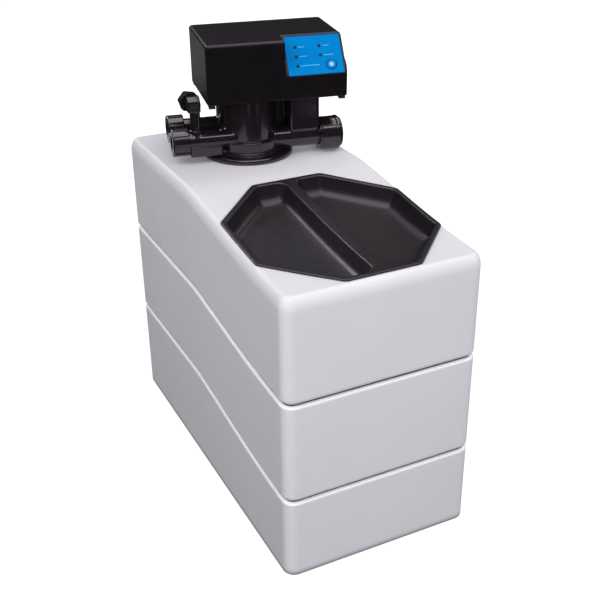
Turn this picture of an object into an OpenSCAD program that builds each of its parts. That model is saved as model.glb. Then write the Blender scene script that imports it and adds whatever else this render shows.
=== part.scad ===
// Compact cabinet water softener: a white cabinet that is also the salt tank, a black
// octagonal tray lid, and a black control valve on the neck of a resin vessel inside.
// Millimetres, +Z up, +X to the right of the front, +Y to the back.
// The origin is the middle of the cabinet's underside.

/* [Cabinet] */
// Width of the cabinet, left to right
cab_w = 225; // [221:1:235]
// Depth of the cabinet, front to back
cab_d = 455; // [453:1:470]
// Height of the flat part of the top, at the back
cab_h = 355; // [352:1:358]
// Thickness of the cabinet's walls
wall = 4; // [3.5:0.5:4.5]
// Radius of the upright corners
corner_r = 12; // [9:0.5:13]
// Height of the upper groove at the back, where the hood meets the tank
groove1_z = 238; // [228:1:242]
// Height of the lower groove at the back
groove2_z = 121; // [110:1:128]
// Width of both grooves
groove_w = 1.8; // [1.2:0.1:2.6]
// Depth of the lower groove
groove_d = 2; // [1:0.1:2.2]

/* [Tray lid] */
// Half the lid's width
lid_a = 106.8; // [100:0.2:107]
// Half the lid's depth
lid_b = 109.3; // [102:0.1:110]
// How far each corner of the lid is cut back along its sides
lid_c = 64.5; // [55:0.5:66]
// Distance of the lid's middle in front of the cabinet's middle
lid_y = 109.6; // [106:0.1:110]
// Depth of the two pockets
pocket_d = 17; // [12:0.5:20]
// Width of the grip ridge between the pockets
ridge_w = 13; // [11:0.5:18]

/* [Valve] */
// Distance of the valve's axis behind the cabinet's middle
valve_y = 105; // [103:1:110]
// Angle by which the whole valve is turned on its neck
valve_turn = -11.6; // [-15:0.1:0]
// Radius of the valve's base flange
flange_r = 53.2; // [51:0.2:54]
// Radius of the valve's barrel
barrel_r = 34.3; // [33:0.1:35]
// Radius of the two port tubes
port_r = 11; // [10.5:0.25:11.5]
// Radius of the open bore in each port
port_bore_r = 9; // [8:0.25:9]
// Radius of the screw cap on the right
cap_r = 19.5; // [18:0.5:20]

/* [Controller] */
// Width of the controller's cover
cover_w = 162; // [160:1:166]
// Depth of the controller's cover
cover_d = 116; // [112:1:118]
// Height of the controller's cover
cover_h = 67.1; // [67:0.1:72]
// Wall thickness of the cover
cover_t = 2.8; // [2:0.1:3]
// Radius of the push button
button_r = 6; // [5:0.1:6.2]

/* [Drive] */
// Module of the gear teeth
gear_m = 1; // [1:0.05:1]
// Teeth on the drive gear
gear_n = 48; // [48:1:48]
// Teeth on the motor pinion
pinion_n = 16; // [16:1:16]
// Radius of the piston
piston_r = 12.4; // [12:0.1:12.4]
// Radius of the piston rod
rod_r = 5; // [4.5:0.1:5]

/* [Vessel and brine gear] */
// Outside radius of the resin vessel
vessel_r = 91; // [88:0.5:93]
// Outside radius of the brine well
well_r = 35; // [34:0.5:35]
// Height of the brine well
well_h = 295; // [285:1:295]
// Height of the salt platform's top
platform_z = 64; // [50:1:70]

/* [Hidden] */
$fn = 64;
eps = 0.01;
white = "#e8e7ec";
black = "#1d1c1e";
dark = "#2b2a2d";
natural = "#d9d6c8";
steel = "#b9bcc0";

// ---- the wave of the cabinet's top -------------------------------------------------
// Fall of the top below its flat back part, at a distance y behind the middle
function fall(y) = y >= 35 ? 0
  : y >= 0 ? pow(35 - y, 2) / 560
  : y >= -100 ? 2.1875 + 0.125 * (-y)
  : 14.6875 + 0.125 * (-100 - y) - 0.000413386 * pow(-100 - y, 2);
wave_y = concat([-cab_d / 2 - 10], [for (i = [0 : 13]) -220 + i * 10], [for (i = [0 : 6]) -80 + i * 14], [for (i = [0 : 4]) 11 + i * 6], [cab_d / 2 + 10]);
wave_n = len(wave_y);
// Everything between two heights that both follow the wave
module wave_slab(low, high) {
  translate([-cab_w, 0, 0]) rotate([90, 0, 90]) linear_extrude(2 * cab_w)
    polygon(concat([for (y = wave_y) [y, low - fall(y)]], [for (i = [0 : wave_n - 1]) let (y = wave_y[wave_n - 1 - i]) [y, high - fall(y)]]));
}
// Everything from below the floor up to a height that follows the wave
module wave_under(high) {
  translate([-cab_w, 0, 0]) rotate([90, 0, 90]) linear_extrude(2 * cab_w)
    polygon(concat([[cab_d / 2 + 10, -1], [-cab_d / 2 - 10, -1]], [for (y = wave_y) [y, high - fall(y)]]));
}
// Outline of the cabinet in plan, drawn in by d
module plan(d) {
  w = cab_w - 2 * d; l = cab_d - 2 * d; r = corner_r - d;
  square([w - 2 * r, l], center = true);
  square([w, l - 2 * r], center = true);
  for (x = [-1, 1], y = [-1, 1]) translate([x * (w / 2 - r), y * (l / 2 - r)]) circle(r);
}
module prism(d, low, high) { translate([0, 0, low]) linear_extrude(high - low) plan(d); }

// ---- the octagon of the lid --------------------------------------------------------
function octagon(d) = let (a = lid_a - d, b = lid_b - d, c = lid_c - 0.5858 * d)
  [[a, -b + c], [a, b - c], [a - c, b], [-a + c, b], [-a, b - c], [-a, -b + c], [-a + c, -b], [a - c, -b]];
// Half octagon, cut off at a distance e from the middle
function half_octagon(d, e) = let (a = lid_a - d, b = lid_b - d, c = lid_c - 0.5858 * d)
  [[e, -b], [a - c, -b], [a, -b + c], [a, b - c], [a - c, b], [e, b]];
module lid_prism(points, low, high) { translate([0, -lid_y, low]) linear_extrude(high - low) polygon(points); }

// ---- frames ------------------------------------------------------------------------
// The valve's frame: on its axis, at the height of the cabinet's flat top
module at_valve() { translate([0, valve_y, cab_h]) rotate([0, 0, valve_turn]) children(); }
// A cylinder along X from x0 to x1
module along_x(r, x0, x1, y, z) { translate([x0, y, z]) rotate([0, 90, 0]) cylinder(r = r, h = x1 - x0); }
// A cylinder along Y from y0 to y1
module along_y(r, y0, y1, x, z) { translate([x, y0, z]) rotate([-90, 0, 0]) cylinder(r = r, h = y1 - y0); }
module along_z(r, z0, z1, x = 0, y = 0) { translate([x, y, z0]) cylinder(r = r, h = z1 - z0); }
module ring_z(ro, ri, z0, z1, x = 0, y = 0) { difference() { along_z(ro, z0, z1, x, y); along_z(ri, z0 - 1, z1 + 1, x, y); } }
module block(x0, x1, y0, y1, z0, z1) { translate([x0, y0, z0]) cube([x1 - x0, y1 - y0, z1 - z0]); }
// An upright block with round corners
module round_block(x0, x1, y0, y1, z0, z1, r) {
  translate([0, 0, z0]) linear_extrude(z1 - z0) {
    translate([x0 + r, y0]) square([x1 - x0 - 2 * r, y1 - y0]);
    translate([x0, y0 + r]) square([x1 - x0, y1 - y0 - 2 * r]);
    for (x = [x0 + r, x1 - r], y = [y0 + r, y1 - r]) translate([x, y]) circle(r);
  }
}

// Valve: heights above the cabinet's flat top
flange_z = 0.3;
body_top = 74;
port_y1 = -19; port_z1 = 25; port_end1 = -90;   // front port
port_y2 = 33; port_z2 = 25.5; port_end2 = -88;  // back port
meter_y = -19; meter_z = 21;                    // meter tube on the right
elbow_x = -65; elbow_z = 66.8; elbow_turn = 10;  // brine elbow on the front port, its leg to the back
plug_z = 64;                                    // underside of the end plug
stroke = 24;                                    // piston travel
// Gears
gear_r = gear_m * gear_n / 2;
pinion_r = gear_m * pinion_n / 2;
gear_dist = gear_r + pinion_r + 0.1;
pinion_at = 20;
pin_x = gear_dist * cos(pinion_at); pin_y = gear_dist * sin(pinion_at);
gear_z0 = 85; gear_z1 = 93;
bracket_z = 100; bracket_t = 3;
posts = [[-27, -27], [-27, 27], [49, -14], [49, 28]];
// Controller cover
cov_x0 = -54; cov_x1 = cov_x0 + cover_w;
cov_y0 = -50; cov_y1 = cov_y0 + cover_d;
cov_z0 = 73.5; cov_z1 = cov_z0 + cover_h;
cov_r = 5;
// Slanted keypad: lower left corner, lean and size
key_x = 38; key_y = -52; key_z = 99.5;
key_lean = atan2(41, 30);
key_w = 69; key_l = 50.8;
led_at = [[13.2, 35], [13.2, 23.7], [13.2, 12.5], [41.6, 35], [41.6, 23.7]];
button_at = [52.7, 12.1];
module at_keypad() { translate([key_x, key_y, key_z]) rotate([key_lean, 0, 0]) children(); }
// Brine well
well_x = -66; well_y = -28;
well_z1 = 5 + well_h;

// ---- cabinet -----------------------------------------------------------------------
module brine_tank() color(white) difference() {
  union() {
    difference() {
      intersection() { prism(0, 0, cab_h); wave_under(groove1_z - groove_w / 2); }
      // lower groove, all the way round
      difference() { wave_slab(groove2_z - groove_w / 2, groove2_z + groove_w / 2); prism(groove_d, 0, cab_h); }
    }
    // lip that the hood sits on
    intersection() { prism(2, 20, cab_h); wave_slab(groove1_z - 10, groove1_z + 8); }
  }
  prism(wall, 5, cab_h);
  along_y(8.9, cab_d / 2 - wall - 2, cab_d / 2 + 2, 60, 185);
}

module hood() color(white) difference() {
  intersection() { prism(0, 100, cab_h + 10); wave_slab(groove1_z + groove_w / 2, cab_h); }
  // hollow, then the rebate over the tank's lip
  intersection() { prism(wall, 100, cab_h + 10); wave_slab(groove1_z - 5, cab_h - wall); }
  intersection() { prism(1.7, 100, cab_h + 10); wave_slab(groove1_z - 5, groove1_z + 8); }
  lid_prism(octagon(3.2), 250, cab_h + 10);
  along_z(41, cab_h - 20, cab_h + 10, 0, valve_y);
}

module salt_lid() color(black) difference() {
  union() {
    intersection() { lid_prism(octagon(0), 250, cab_h + 10); wave_slab(cab_h + 0.2, cab_h + 1.9); }
    intersection() { lid_prism(octagon(4), 250, cab_h + 10); wave_slab(cab_h - pocket_d - 2.5, cab_h + 1); }
  }
  intersection() {
    union() for (s = [0, 1]) translate([0, -lid_y, 250]) mirror([s, 0, 0]) linear_extrude(cab_h - 200) polygon(half_octagon(6.5, ridge_w / 2));
    wave_slab(cab_h - pocket_d, cab_h + 20);
  }
  // underside of the ridge, open below as a grip
  intersection() {
    block(-ridge_w / 2 + 2.5, ridge_w / 2 - 2.5, -lid_y - lid_b + 12, -lid_y + lid_b - 12, 250, cab_h + 10);
    wave_slab(cab_h - 60, cab_h - 0.8);
  }
}

// ---- valve -------------------------------------------------------------------------
module valve_body() color(black) at_valve() difference() {
  union() {
    along_z(31.7, -21, 1);                              // neck spigot
    along_z(flange_r, flange_z, 3.2);                   // base flange
    translate([0, 0, 3.2]) cylinder(r1 = flange_r, r2 = flange_r - 4, h = 3.4);
    along_z(42, 6, 9.2);                                // step
    along_z(39, 9, 21.5);                               // collar
    along_z(barrel_r, 21, body_top);                    // barrel
    along_x(port_r, port_end1, -16, port_y1, port_z1);  // front port tube
    along_x(port_r, port_end2, 0, port_y2, port_z2);    // back port tube
    along_z(7.5, port_z1, port_z1 + 13.5, elbow_x, port_y1); // boss for the brine elbow
    block(-60, -24, port_y1 - 4.5, port_y1 + 4.5, 6.5, 13);  // rib under the front port
    block(-73.6, -36.5, port_y1 - 12, port_y1 + 4.5, 8.8, 20.6); // bar along the front port
    along_x(13, 23, 93.5, meter_y, meter_z);            // meter tube
    round_block(44.5, 80.5, -33, 6, 28, body_top, 5);   // right upright
    block(24, 50, -6, 8, 24, 70);                       // web to the upright
    round_block(-30, -8, 20, 44, 25.5, body_top, 4);    // back upright
    along_y(10, 20, 44, 8, 45);                         // drain boss
  }
  // piston bore, riser socket and the ways to the resin bed
  along_z(20, 11, body_top + 1);
  along_z(13.6, -22, 7);
  along_z(9, 6, 12);
  for (i = [0 : 3]) rotate(45 + 90 * i) along_z(4, -22, 14, 22.5, 0);
  // ports
  along_x(port_bore_r, port_end1 - 1, port_end1 + 18, port_y1, port_z1);
  along_x(6, port_end1 + 17, -10, port_y1, port_z1);
  along_x(port_bore_r, port_end2 - 1, port_end2 + 18, port_y2, port_z2);
  along_x(6.5, port_end2 + 17, -12, port_y2, port_z2);
  along_y(6, 10, port_y2, -12, port_z2);
  // brine elbow's socket
  along_z(5.55, port_z1 + 8, port_z1 + 20, elbow_x, port_y1);
  along_z(2, port_z1, port_z1 + 10, elbow_x, port_y1);
  // meter tube
  along_x(10.5, 45, 110, meter_y, meter_z);
  along_x(6, 10, 46, -14, meter_z);
  // injector pocket, open at the back of the upright
  along_y(6.1, -20, 10, 62, 50);
  along_z(3, meter_z, 50, 62, -16);
  // drain
  along_y(6.6, 32, 50, 8, 45);
  along_y(4, 10, 34, 8, 45);
}

// A ribbed union nut, its open end at x = 0 and its thread towards +X
module union_nut() difference() {
  along_x(16.4, 0, 20, 0, 0);
  for (i = [0 : 9]) rotate([36 * i + 18, 0, 0]) block(2.4, 30, -1.25, 1.25, 14.8, 20);
  along_x(9.6, -1, 3, 0, 0);
  along_x(port_r + 0.3, 2, 30, 0, 0);
}
module front_port_nut() color(black) at_valve() translate([port_end1 - 4, port_y1, port_z1]) union_nut();
module back_port_nut() color(black) at_valve() translate([port_end2 - 4, port_y2, port_z2]) union_nut();
module port_washers() color(dark) at_valve() {
  for (p = [[port_end1, port_y1, port_z1], [port_end2, port_y2, port_z2]]) translate(p)
    difference() { along_x(port_r, -1.9, -0.1, 0, 0); along_x(9.3, -3, 1, 0, 0); }
}

// The elbow's leg: its own frame, along +Y from the stem
module at_leg() { at_valve() translate([elbow_x, port_y1, elbow_z]) rotate([0, 0, elbow_turn]) children(); }
module brine_elbow() color(black) difference() {
  union() {
    at_valve() translate([elbow_x, port_y1, 0]) {
      along_z(5.5, port_z1 + 8.2, elbow_z);
      along_z(6, port_z1 + 13.8, elbow_z);
      round_block(-9, 6.4, -7.4, 6, elbow_z - 6.9, elbow_z + 6.6, 3);
      translate([-8, 0, elbow_z]) rotate([90, 0, 90]) linear_extrude(13.6) polygon([[-7, 0], [-7, 6.6], [-3, 11], [6, 11], [6, 0]]);
    }
    at_leg() { along_y(8.2, 0, 14.5, 0, 0); along_y(6.6, 14, 23.3, 0, 0); }
  }
  at_leg() { along_y(4.85, 11.3, 24, 0, 0); along_y(3.4, -1, 12, 0, 0); }
  at_valve() along_z(3, port_z1, elbow_z + 1.5, elbow_x, port_y1);
}
module brine_elbow_nut() color(black) at_leg() difference() {
  translate([0, 14.8, 0]) rotate([-90, 0, 0]) rotate(11.8) cylinder(r = 12.3, h = 10.7, $fn = 6);
  along_y(6.9, 10, 23.5, 0, 0);
  along_y(5.3, 10, 30, 0, 0);
}

module meter_cap() color(black) at_valve() translate([0, meter_y, meter_z]) difference() {
  union() {
    along_x(cap_r - 1.5, 81, 84.5, 0, 0);
    along_x(cap_r, 83.5, 107, 0, 0);
    along_x(cap_r + 0.5, 101.5, 105.5, 0, 0);
    along_x(cap_r - 2, 106, 109, 0, 0);
  }
  difference() { along_x(13.3, 75, 95.4, 0, 0); along_x(10.2, 88, 97, 0, 0); }
}
module cap_o_ring() color(dark) at_valve() difference() {
  along_x(13, 93.6, 95.3, meter_y, meter_z);
  along_x(10.5, 90, 98, meter_y, meter_z);
}
module meter_cage() color(natural) at_valve() translate([0, meter_y, meter_z]) {
  difference() { along_x(10.3, 56, 84, 0, 0); along_x(9.7, 50, 90, 0, 0); }
  for (i = [0 : 2]) rotate([120 * i, 0, 0]) block(56, 59, -0.8, 0.8, 0, 10);
  along_x(3, 56, 60, 0, 0);
  along_x(1.5, 59, 80, 0, 0);
  along_x(2.6, 78.6, 80.5, 0, 0);
}
module meter_rotor() color("white") at_valve() translate([0, meter_y, meter_z]) difference() {
  union() {
    along_x(3.6, 61, 78, 0, 0);
    for (i = [0 : 5]) rotate([60 * i, 0, 0]) translate([69.5, 0, 3]) rotate([0, 0, 25]) translate([-6, -0.6, 0]) cube([12, 1.2, 6]);
  }
  along_x(1.55, 50, 90, 0, 0);
}

module injector_nozzle() color(natural) at_valve() difference() {
  union() { along_y(6, -18, -12, 62, 50); along_y(4.5, -12, -2, 62, 50); along_y(6, -5, -1, 62, 50); }
  along_y(1.2, -20, 0, 62, 50);
}
module injector_cap() color(black) at_valve() {
  along_y(6, -0.8, 6.1, 62, 50);
  translate([62, 6.1, 50]) rotate([-90, 0, 0]) cylinder(r = 11, h = 5, $fn = 8);
  block(54, 70, 11, 15, 48.5, 51.5);
}
module drain_spigot() color(black) at_valve() difference() {
  union() {
    along_y(6.5, 34.5, 45, 8, 45);
    translate([8, 44.1, 45]) rotate([-90, 0, 0]) cylinder(r = 10, h = 5, $fn = 6);
    along_y(6.5, 49, 72, 8, 45);
  }
  along_y(4, 30, 80, 8, 45);
}

// Seals and spacers stacked up the piston bore
module seal_spacers() color(natural) at_valve() for (i = [0 : 4]) {
  z = 11.2 + 2.4 + i * 10;
  difference() {
    ring_z(19.9, 14.2, z, z + 7.6);
    for (k = [0 : 3]) rotate(45 * k) block(-25, 25, -2.5, 2.5, z + 2, z + 5.6);
  }
}
module piston_seals() color(dark) at_valve() for (i = [0 : 5]) {
  z = 11.2 + i * 10;
  ring_z(19.9, piston_r + 0.05, z + 0.05, z + 2.35);
}
module piston() color(dark) at_valve() difference() {
  union() {
    along_z(piston_r, 13, 21);
    along_z(piston_r - 3.5, 20, 32);
    along_z(piston_r, 31, 39);
  }
  along_z(6, 12, 28);
  along_z(3.5, 12, 45);
}
module piston_rod() color(steel) at_valve() {
  along_z(3.4, 32, 40);
  along_z(rod_r, 39.05, 109);
}
module end_plug() color(dark) at_valve() difference() {
  union() { along_z(19.9, plug_z, 75); along_z(26, 74, 77); }
  along_z(rod_r + 0.05, 60, 80);
  along_z(8.3, 72.5, 80);
}
module rod_seal() color(dark) at_valve() ring_z(8.2, rod_r + 0.05, 72.6, 76);

// ---- controller --------------------------------------------------------------------
module controller_base() color(black) at_valve() difference() {
  union() {
    round_block(cov_x0 + cover_t + 0.7, cov_x1 - cover_t - 0.7, cov_y0 + cover_t + 0.7, cov_y1 - cover_t - 0.7, 74, 77, 4);
    for (p = posts) along_z(4, 76, bracket_z, p[0], p[1]);
    // corner tabs that hold the cover from below
    for (x = [cov_x0 + 1.5, cov_x1 - 8.5], y = [cov_y0 + 1.5, cov_y1 - 8.5]) {
      block(x, x + 7, y, y + 7, 69.6, 73.3);
      block(max(x, cov_x0 + 4.2), min(x + 7, cov_x1 - 4.2), max(y, cov_y0 + 4.2), min(y + 7, cov_y1 - 4.2), 72, 76);
    }
  }
  along_z(26.3, 60, 90);
  for (p = posts) along_z(1.5, 80, bracket_z + 1, p[0], p[1]);
}

// Box with every edge rounded but those of its underside, drawn in by d
module cover_box(d) {
  x0 = cov_x0 + d; x1 = cov_x1 - d; y0 = cov_y0 + d; y1 = cov_y1 - d; z1 = cov_z1 - d; r = cov_r - d * 0.9;
  intersection() {
    round_block(x0, x1, y0, y1, cov_z0 - 5, z1, r);
    translate([0, y1, 0]) rotate([90, 0, 0]) translate([0, 0, 0]) linear_extrude(y1 - y0) {
      translate([x0, cov_z0 - 5]) square([x1 - x0, z1 - r - cov_z0 + 5]);
      translate([x0 + r, cov_z0]) square([x1 - x0 - 2 * r, z1 - cov_z0]);
      for (x = [x0 + r, x1 - r]) translate([x, z1 - r]) circle(r);
    }
    translate([x0, 0, 0]) rotate([90, 0, 90]) linear_extrude(x1 - x0) {
      translate([y0, cov_z0 - 5]) square([y1 - y0, z1 - r - cov_z0 + 5]);
      translate([y0 + r, cov_z0]) square([y1 - y0 - 2 * r, z1 - cov_z0]);
      for (y = [y0 + r, y1 - r]) translate([y, z1 - r]) circle(r);
    }
  }
}
// What is cut off the front right corner for the keypad, at a depth d below its face
module keypad_cut(d, x0) { at_keypad() block(x0, key_w + 20, -60, 90, -d, 80); }
module controller_cover() color(black) at_valve() difference() {
  union() {
    difference() { cover_box(0); keypad_cut(0, -2); block(-100, 150, -100, 100, 0, cov_z0); }
    // chin under the keypad
    intersection() {
      translate([key_x - 2, 0, 0]) rotate([90, 0, 90]) linear_extrude(cov_x1 - key_x + 2)
        polygon([[cov_y0 + 3, cov_z0], [cov_y0 + 0.5, cov_z0], [key_y, key_z - 3], [key_y, key_z], [key_y + 7.5, key_z + 9], [cov_y0 + 3, key_z]]);
      round_block(cov_x0, cov_x1, cov_y0 - 10, cov_y1, cov_z0, cov_z1, cov_r);
      at_keypad() block(-20, key_w + 20, -60, 90, -90, 0);
    }
  }
  difference() { cover_box(cover_t); at_keypad() block(-4.5, key_w + 20, -60, 90, -3, 80); }
  for (p = led_at) at_keypad() along_z(1.9, -6, 2, p[0], p[1]);
  at_keypad() along_z(button_r + 0.4, -6, 2, button_at[0], button_at[1]);
  along_y(5, cov_y1 - 6, cov_y1 + 2, 66, 88);
}
module keypad_overlay() color("#008ad6") at_valve() at_keypad() difference() {
  block(1, key_w - 1.5, 0.8, key_l - 2.2, 0.05, 0.85);
  for (p = led_at) along_z(1.7, -1, 2, p[0], p[1]);
  along_z(button_r + 0.3, -1, 2, button_at[0], button_at[1]);
}
module push_button() color("#0a5fa8") at_valve() at_keypad() translate(button_at) {
  along_z(button_r, -5, 1.45);
  along_z(button_r + 1.5, -5, -3.4);
}
module status_leds() color("#123a55") at_valve() at_keypad() for (p = led_at) along_z(1.5, -9.5, 0.9, p[0], p[1]);
module circuit_board() color("#1f5b34") at_valve() at_keypad() block(4, 65, 4, 46, -11.2, -9.6);
module push_switch() color(dark) at_valve() at_keypad() translate([button_at[0], button_at[1], 0]) {
  block(-3, 3, -3, 3, -9.5, -6.8);
  along_z(1.7, -7, -6);
}
module power_socket() color(dark) at_valve() difference() {
  union() { along_y(4.8, cov_y1 - 12, cov_y1 + 1.6, 66, 88); along_y(6.2, cov_y1 + 0.1, cov_y1 + 1.6, 66, 88); }
  difference() { along_y(2.9, cov_y1 - 8, cov_y1 + 3, 66, 88); along_y(1, cov_y1 - 9, cov_y1 + 0.5, 66, 88); }
}

// ---- drive -------------------------------------------------------------------------
// Involute of the base circle, as an angle at radius r
function roll(rb, r) = r <= rb ? 0 : let (a = acos(rb / r)) tan(a) * 180 / PI - a;
// Half the tooth's angle at radius r
function half_tooth(n, r) = let (rp = gear_m * n / 2, rb = rp * cos(20)) (90 / n - 0.09 * 180 / (PI * rp)) + roll(rb, rp) - roll(rb, r);
function gear_points(n) = let (rp = gear_m * n / 2, rr = rp - 1.2 * gear_m, rt = rp + 0.9 * gear_m, steps = [0, 0.3, 0.55, 0.8, 1])
  [for (i = [0 : n - 1]) for (s = [-1, 1]) for (k = [0 : 4])
    let (q = s < 0 ? k : 4 - k, r = rr + (rt - rr) * steps[q], a = 360 * i / n + s * half_tooth(n, r)) [r * cos(a), r * sin(a)]];
module drive_gear() color(natural) at_valve() difference() {
  union() {
    translate([0, 0, gear_z0]) rotate(pinion_at) linear_extrude(gear_z1 - gear_z0) polygon(gear_points(gear_n));
    along_z(10.5, 77.4, gear_z0 + 1);
    along_z(9, gear_z1 - 1, 106);
  }
  along_z(rod_r + 0.05, 70, 110);
  for (i = [0 : 5]) rotate(60 * i) along_z(3.5, 80, 95, 16, 0);
}
module motor_pinion() color(steel) at_valve() translate([pin_x, pin_y, 0]) {
  translate([0, 0, gear_z0 - 0.5]) rotate(pinion_at + 180 + 180 / pinion_n) linear_extrude(gear_z1 - gear_z0 + 1) polygon(gear_points(pinion_n));
  along_z(2, 80, 108);
}
module motor() color(steel) at_valve() translate([pin_x, pin_y, 0]) difference() {
  union() {
    along_z(18, bracket_z + bracket_t, 129);
    along_z(14, 128, 131);
    block(-9, 9, -19.5, -12, bracket_z + bracket_t + 6, 124);
  }
  along_z(2.05, 90, 109);
}
module drive_bracket() color(steel) at_valve() difference() {
  round_block(-32, 54, -32, 33, bracket_z, bracket_z + bracket_t, 4);
  along_z(9.05, 90, 110);
  along_z(5, 90, 110, pin_x, pin_y);
  for (p = posts) along_z(1.7, 90, 110, p[0], p[1]);
}
module bracket_screws() color(steel) at_valve() for (p = posts) {
  along_z(1.4, 84, 104, p[0], p[1]);
  along_z(3.2, bracket_z + bracket_t, bracket_z + bracket_t + 2.2, p[0], p[1]);
}

// ---- resin vessel ------------------------------------------------------------------
ves_top = cab_h - 2;      // top of the neck
dome_b = 57; dome_t = cab_h - 80;
function dome(r, h, z, a) = [r * cos(a), z + h * sin(a)];
module vessel_at() { translate([0, valve_y, 0]) children(); }
module resin_vessel() color(natural) vessel_at() rotate_extrude() polygon(concat(
  [for (a = [-90 : 10 : 0]) dome(vessel_r, 45, dome_b, a)],
  [for (a = [0 : 8 : 64]) dome(vessel_r, 55, dome_t, a)],
  [[38, dome_t + 50.2], [38, ves_top], [32, ves_top], [32, dome_t + 47.2]],
  [for (a = [64 : -8 : 0]) dome(vessel_r - 4, 51, dome_t, a)],
  [for (a = [0 : -10 : -90]) dome(vessel_r - 4, 41, dome_b, a)]));
module vessel_foot() color(black) vessel_at() difference() {
  along_z(vessel_r + 3, 5, 42);
  translate([0, 0, -0.3]) rotate_extrude() polygon(concat([for (a = [-90 : 10 : 0]) dome(vessel_r, 45, dome_b, a)], [[vessel_r, 90], [0, 90]]));
  along_z(36, 0, 30);
}
module riser_tube() color(natural) vessel_at() ring_z(13.3, 10.3, 45, cab_h + 6);
module bottom_strainer() color(natural) vessel_at() difference() {
  union() { along_z(21, 26, 50); along_z(17, 49, 62); }
  along_z(13.6, 44, 70);
  along_z(10, 30, 50);
  for (i = [0 : 5]) rotate(30 * i) block(-30, 30, -0.8, 0.8, 31, 43);
}
module top_strainer() color(natural) vessel_at() difference() {
  union() { along_z(24, cab_h - 40, cab_h - 28); along_z(29, cab_h - 28.5, cab_h - 21.2); }
  along_z(13.6, cab_h - 50, cab_h - 10);
  for (i = [0 : 5]) rotate(30 * i) block(-30, 30, -0.8, 0.8, cab_h - 37, cab_h - 30);
}
module neck_o_ring() color(dark) vessel_at() rotate_extrude() translate([35, ves_top + 1.15]) circle(0.95);

// ---- brine gear --------------------------------------------------------------------
module at_well() { translate([well_x, well_y, 0]) children(); }
module brine_well() color(natural) at_well() difference() {
  ring_z(well_r, well_r - 3, 5, well_z1);
  for (i = [0 : 2]) rotate(60 * i + 15) block(-50, 50, -2, 2, 9, 45);
}
module brine_well_cap() color(natural) at_well() difference() {
  along_z(well_r + 2.3, well_z1 - 6, well_z1 + 3);
  along_z(well_r + 0.3, well_z1 - 7, well_z1 + 0.2);
  along_z(5.4, well_z1 - 10, well_z1 + 10);
}
module safety_valve() color(natural) at_well() difference() {
  union() {
    round_block(-22, 22, -11, 11, 258, 280, 4);
    along_z(8, 279, well_z1 - 1);
    along_z(5, well_z1 - 4, well_z1 + 16);
  }
  along_z(2.55, 250, 276, 13, 0);
  along_z(5.2, 250, 268, -13, 0);
  along_z(3.2, 266, 273.5, -13, 0);
  along_x(2.4, -13.5, 0.5, 0, 270.5);
  along_z(3, 267, well_z1 + 20);
}
module float() color("white") at_well() translate([13, 0, 0]) difference() {
  union() { along_z(13, 134, 181); along_z(11, 131, 184); }
  along_z(2.6, 120, 190);
}
module float_rod() color(steel) at_well() translate([13, 0, 0]) {
  along_z(2.5, 30, 262);
  ring_z(5, 2.4, 127, 130.9);
  ring_z(5, 2.4, 184.1, 188);
}
module pickup_tube() color(natural) at_well() ring_z(5, 3.5, 41, 267, -13, 0);
module air_check_cage() color(natural) at_well() translate([-13, 0, 0]) difference() {
  along_z(10.5, 8, 47);
  along_z(7, 12, 40);
  along_z(3.5, 39, 42);
  along_z(5.2, 40.9, 50);
  for (i = [0 : 1]) rotate(90 * i) block(-20, 20, -3, 3, 12, 34);
}
module air_check_ball() color(dark) at_well() translate([-13, 0, 17.2]) sphere(5);
module salt_platform() color(natural) difference() {
  union() {
    block(-cab_w / 2 + wall + 4, cab_w / 2 - wall - 4, -cab_d / 2 + wall + 4, -4, platform_z - 4, platform_z);
    for (p = [[-95, -208], [95, -208], [95, -16], [-14, -16], [-95, -90], [95, -112], [0, -112], [0, -208]])
      block(p[0] - 5, p[0] + 5, p[1] - 5, p[1] + 5, 5, platform_z - 3);
  }
  along_z(well_r + 2, platform_z - 10, platform_z + 5, well_x, well_y);
  for (x = [-78 : 24 : 90], y = [-160, -72]) if (y < -100 || x > -20)
    block(x - 2.5, x + 2.5, y - 34, y + 34, platform_z - 6, platform_z + 2);
}
module overflow_spigot() color(dark) difference() {
  union() {
    along_y(13, cab_d / 2 - wall - 3.1, cab_d / 2 - wall - 0.1, 60, 185);
    along_y(8.6, cab_d / 2 - wall - 3, cab_d / 2 + 5.1, 60, 185);
    along_y(8, cab_d / 2 + 5, cab_d / 2 + 26, 60, 185);
  }
  along_y(6, cab_d / 2 - 20, cab_d / 2 + 40, 60, 185);
}
module overflow_nut() color(dark) difference() {
  translate([60, cab_d / 2 + 0.1, 185]) rotate([-90, 0, 0]) cylinder(r = 14, h = 5, $fn = 6);
  along_y(8.7, cab_d / 2 - 5, cab_d / 2 + 40, 60, 185);
}

brine_tank();
hood();
salt_lid();
valve_body();
front_port_nut();
back_port_nut();
port_washers();
brine_elbow();
brine_elbow_nut();
meter_cap();
cap_o_ring();
meter_cage();
meter_rotor();
injector_nozzle();
injector_cap();
drain_spigot();
seal_spacers();
piston_seals();
piston();
piston_rod();
end_plug();
rod_seal();
controller_base();
controller_cover();
keypad_overlay();
push_button();
status_leds();
circuit_board();
push_switch();
power_socket();
drive_gear();
motor_pinion();
motor();
drive_bracket();
bracket_screws();
resin_vessel();
vessel_foot();
riser_tube();
bottom_strainer();
top_strainer();
neck_o_ring();
brine_well();
brine_well_cap();
safety_valve();
float();
float_rod();
pickup_tube();
air_check_cage();
air_check_ball();
salt_platform();
overflow_spigot();
overflow_nut();
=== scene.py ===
import math

import bmesh
import bpy
import numpy as np
from mathutils import Matrix, Vector
from mathutils.geometry import delaunay_2d_cdt


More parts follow.
